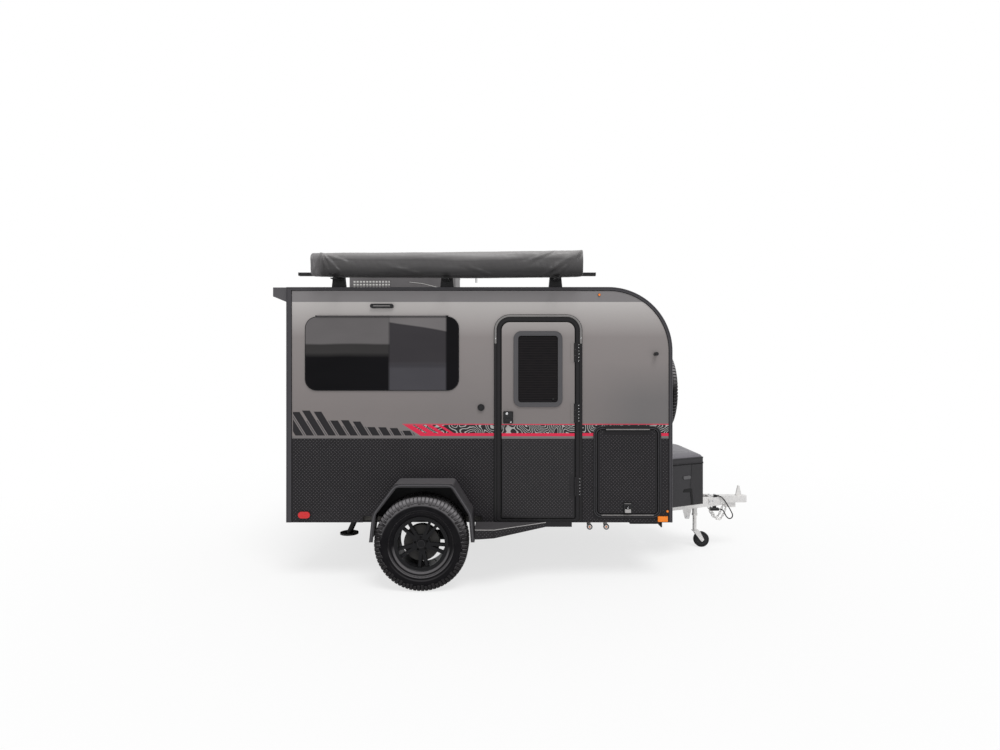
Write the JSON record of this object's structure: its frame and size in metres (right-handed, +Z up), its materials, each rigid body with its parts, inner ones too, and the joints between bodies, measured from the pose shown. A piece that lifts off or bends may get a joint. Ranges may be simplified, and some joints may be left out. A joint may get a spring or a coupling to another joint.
{
  "type": "teardrop trailer",
  "caption": "Small hard-sided camping trailer with curved nose, side door, luggage doors, rear hatch, roof awning bag, outboard wheels and A-frame tongue on a caster jack.",
  "frame": {"origin": "centre of the whole trailer's plan, on the ground", "axes": "+X towards the coupler, +Y to the left side, +Z up"},
  "size_m": [4.163, 2.48, 2.649],
  "materials": {
    "chassis_steel": "black coated steel",
    "tongue_metal": "galvanised",
    "caster_rubber": "matt",
    "black_plastic": "moulded",
    "floor_board": "sealed board",
    "wall_paint": "warm silver-grey satin",
    "dark_paint": "dark grey gloss",
    "dark_trim": "textured black",
    "tread_plate": "black coated tread plate",
    "dark_glass": "dark tint",
    "grey_frame": "grey satin",
    "tyre_rubber": "matt",
    "black_alloy": "satin black",
    "cast_drum": "cast",
    "box_plastic": "rotomoulded grain",
    "bag_vinyl": "black coated vinyl",
    "cooler_plastic": "dark grey",
    "amber_lens": "clear amber",
    "red_lens": "clear red",
    "cable_rubber": "satin"
  },
  "bodies": {
    "trailer": {"chassis_rails": "chassis_steel", "chassis_crossmembers": "chassis_steel", "axle_beam": "chassis_steel", "stabilizers": "chassis_steel", "spare_carrier": "chassis_steel", "tongue_rails": "tongue_metal", "coupler": "tongue_metal", "safety_chains": "tongue_metal", "tongue_jack": "tongue_metal", "cable_seats": "black_plastic", "floor_panel": "floor_board", "side_wall_right": "wall_paint", "side_wall_left": "wall_paint", "nose_and_roof": "wall_paint", "rear_wall": "wall_paint", "rear_hood": "dark_paint", "edge_trims": "dark_trim", "lower_skins": "tread_plate", "side_windows": "dark_glass", "entry_door_frame": "dark_trim", "luggage_door_frames": "dark_trim", "hatch_frame": "dark_trim", "fender_right": "dark_trim", "fender_left": "dark_trim", "step_plates": "dark_trim", "spare_tyre": "tyre_rubber", "spare_rim": "black_alloy", "storage_box": "box_plastic", "roof_rail_right": "dark_trim", "roof_rail_left": "dark_trim", "awning_bag": "bag_vinyl", "air_conditioner": "cooler_plastic", "amber_lamps": "amber_lens", "red_lamps": "red_lens", "porch_lamp": "black_plastic", "wall_fittings": "black_plastic", "drain_fittings": "tongue_metal", "trailer_cable": "cable_rubber", "trailer_plug": "black_plastic"},
    "wheel_right": {"tyre_right": "tyre_rubber", "rim_right": "black_alloy", "brake_drum_right": "cast_drum"},
    "wheel_left": {"tyre_left": "tyre_rubber", "rim_left": "black_alloy", "brake_drum_left": "cast_drum"},
    "jack_caster": {"jack_caster_fork": "tongue_metal"},
    "jack_caster_wheel": {"jack_caster_tyre": "caster_rubber", "jack_caster_hub": "tongue_metal"},
    "entry_door": {"entry_door": "wall_paint", "entry_door_window_frame": "grey_frame", "entry_door_glass": "dark_glass", "entry_door_handle": "black_plastic"},
    "luggage_door_right": {"luggage_door_right": "tread_plate", "luggage_latch_right": "black_plastic"},
    "luggage_door_left": {"luggage_door_left": "tread_plate", "luggage_latch_left": "black_plastic"},
    "storage_box_lid": {"storage_box_lid": "box_plastic"},
    "rear_hatch": {"rear_hatch": "wall_paint", "rear_hatch_latch": "black_plastic"}
  },
  "joints": [
    {"name": "wheel_right_spin", "type": "hinge", "parent": "trailer", "child": "wheel_right", "pos_m": [-0.8695, -1.1155, 0.362], "axis": [0, 1, 0], "continuous": true},
    {"name": "wheel_left_spin", "type": "hinge", "parent": "trailer", "child": "wheel_left", "pos_m": [-0.8695, 1.1155, 0.362], "axis": [0, 1, 0], "continuous": true},
    {"name": "jack_caster_swivel", "type": "hinge", "parent": "trailer", "child": "jack_caster", "pos_m": [1.5895, 0, 0.153], "axis": [0, 0, 1], "continuous": true},
    {"name": "jack_caster_wheel_spin", "type": "hinge", "parent": "jack_caster", "child": "jack_caster_wheel", "pos_m": [1.6515, 0, 0.072], "axis": [0, 1, 0], "continuous": true},
    {"name": "entry_door_hinge", "type": "hinge", "parent": "trailer", "child": "entry_door", "pos_m": [0.3285, -1.01, 1.3], "axis": [0, 0, 1], "range_deg": [0, 165]},
    {"name": "luggage_door_right_hinge", "type": "hinge", "parent": "trailer", "child": "luggage_door_right", "pos_m": [0.7455, -1.01, 1.214], "axis": [1, 0, 0], "range_deg": [-95, 0]},
    {"name": "luggage_door_left_hinge", "type": "hinge", "parent": "trailer", "child": "luggage_door_left", "pos_m": [0.7455, 1.01, 1.214], "axis": [-1, 0, 0], "range_deg": [-95, 0]},
    {"name": "storage_box_lid_hinge", "type": "hinge", "parent": "trailer", "child": "storage_box_lid", "pos_m": [1.1545, 0, 0.855], "axis": [0, -1, 0], "range_deg": [0, 30]},
    {"name": "rear_hatch_hinge", "type": "hinge", "parent": "trailer", "child": "rear_hatch", "pos_m": [-1.9895, 0, 2.187], "axis": [0, 1, 0], "range_deg": [0, 90]}
  ]
}
